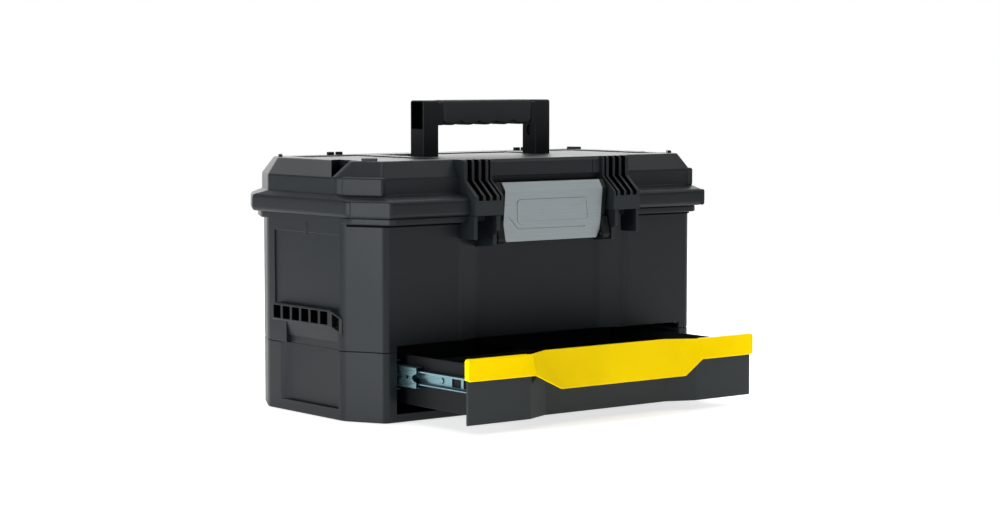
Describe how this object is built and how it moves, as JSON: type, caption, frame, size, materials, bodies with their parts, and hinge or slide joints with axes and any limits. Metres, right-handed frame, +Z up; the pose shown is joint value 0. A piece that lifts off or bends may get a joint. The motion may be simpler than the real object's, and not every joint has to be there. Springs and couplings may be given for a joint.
{
  "type": "toolbox",
  "caption": "Lidded plastic toolbox with a pull-out drawer on ball slides, a lift-out tray, a front latch and a folding carry handle.",
  "frame": {"origin": "bottom centre of the drawer housing, on the surface that the toolbox stands on", "axes": "+Z up, +X along the length to the right seen from the front, -Y towards the latch and drawer front"},
  "size_m": [0.481, 0.391, 0.329],
  "materials": {
    "shell_plastic": "fine moulded texture, satin",
    "fascia_plastic": "fine moulded texture, satin",
    "inner_plastic": "smooth moulded, satin",
    "soft_grip": "soft overmould, matte",
    "pull_plastic": "semi-gloss yellow",
    "latch_metal": "brushed silver cover",
    "zinc_steel": "bright zinc plate"
  },
  "bodies": {
    "case": {"bin_shell": "shell_plastic", "drawer_housing": "shell_plastic", "slide_outer_left": "zinc_steel", "slide_outer_right": "zinc_steel", "slide_screw_outer_front_left": "zinc_steel", "slide_screw_outer_rear_left": "zinc_steel", "slide_screw_outer_front_right": "zinc_steel", "slide_screw_outer_rear_right": "zinc_steel", "housing_screw_front_left": "zinc_steel", "housing_screw_rear_left": "zinc_steel", "housing_screw_front_right": "zinc_steel", "housing_screw_rear_right": "zinc_steel", "hinge_pin_left": "zinc_steel", "hinge_pin_right": "zinc_steel", "latch_pin_left": "zinc_steel", "latch_pin_right": "zinc_steel"},
    "lid": {"lid_shell": "shell_plastic", "handle_pin_left": "zinc_steel", "handle_pin_right": "zinc_steel"},
    "handle": {"handle_frame": "inner_plastic", "handle_grip": "soft_grip"},
    "latch": {"latch_lever": "inner_plastic", "latch_plate": "latch_metal"},
    "drawer": {"drawer_tub": "inner_plastic", "drawer_fascia": "fascia_plastic", "drawer_pull": "pull_plastic", "drawer_divider_long": "inner_plastic", "drawer_divider_left": "inner_plastic", "drawer_divider_right": "inner_plastic", "drawer_divider_rear": "inner_plastic", "slide_inner_left": "zinc_steel", "slide_inner_right": "zinc_steel", "slide_screw_inner_front_left": "zinc_steel", "slide_screw_inner_rear_left": "zinc_steel", "slide_screw_inner_front_right": "zinc_steel", "slide_screw_inner_rear_right": "zinc_steel"},
    "tray": {"tote_tray": "inner_plastic"},
    "slide_middle_left": {"slide_middle_left": "zinc_steel"},
    "ball_cage_outer_left": {"ball_cage_outer_left": "zinc_steel"},
    "ball_cage_inner_left": {"ball_cage_inner_left": "zinc_steel"},
    "slide_middle_right": {"slide_middle_right": "zinc_steel"},
    "ball_cage_outer_right": {"ball_cage_outer_right": "zinc_steel"},
    "ball_cage_inner_right": {"ball_cage_inner_right": "zinc_steel"}
  },
  "joints": [
    {"name": "lid_hinge", "type": "hinge", "parent": "case", "child": "lid", "pos_m": [0, 0.138, 0.207], "axis": [-1, 0, 0], "range_deg": [0, 105]},
    {"name": "handle_fold", "type": "hinge", "parent": "lid", "child": "handle", "pos_m": [0, -0.004, 0.262], "axis": [-1, 0, 0], "range_deg": [0, 90]},
    {"name": "latch_pivot", "type": "hinge", "parent": "case", "child": "latch", "pos_m": [0, -0.128, 0.1847], "axis": [1, 0, 0], "range_deg": [0, 110]},
    {"name": "drawer_slide", "type": "slide", "parent": "case", "child": "drawer", "axis": [0, -1, 0], "range_m": [-0.117, 0.07]},
    {"name": "tray_lift", "type": "slide", "parent": "case", "child": "tray", "axis": [0, 0, 1], "range_m": [0, 0.038]},
    {"name": "slide_middle_left_travel", "type": "slide", "parent": "case", "child": "slide_middle_left", "axis": [0, -1, 0], "range_m": [-0.0588, 0.0353]},
    {"name": "ball_cage_outer_left_travel", "type": "slide", "parent": "case", "child": "ball_cage_outer_left", "axis": [0, -1, 0], "range_m": [-0.0296, 0.0178]},
    {"name": "ball_cage_inner_left_travel", "type": "slide", "parent": "case", "child": "ball_cage_inner_left", "axis": [0, -1, 0], "range_m": [-0.0881, 0.0528]},
    {"name": "slide_middle_right_travel", "type": "slide", "parent": "case", "child": "slide_middle_right", "axis": [0, -1, 0], "range_m": [-0.0588, 0.0353]},
    {"name": "ball_cage_outer_right_travel", "type": "slide", "parent": "case", "child": "ball_cage_outer_right", "axis": [0, -1, 0], "range_m": [-0.0296, 0.0178]},
    {"name": "ball_cage_inner_right_travel", "type": "slide", "parent": "case", "child": "ball_cage_inner_right", "axis": [0, -1, 0], "range_m": [-0.0881, 0.0528]}
  ],
  "couplings": [
    {"joint": "slide_middle_left_travel", "follows": "drawer_slide", "ratio": 0.5},
    {"joint": "ball_cage_outer_left_travel", "follows": "drawer_slide", "ratio": 0.25},
    {"joint": "ball_cage_inner_left_travel", "follows": "drawer_slide", "ratio": 0.75},
    {"joint": "slide_middle_right_travel", "follows": "drawer_slide", "ratio": 0.5},
    {"joint": "ball_cage_outer_right_travel", "follows": "drawer_slide", "ratio": 0.25},
    {"joint": "ball_cage_inner_right_travel", "follows": "drawer_slide", "ratio": 0.75}
  ]
}
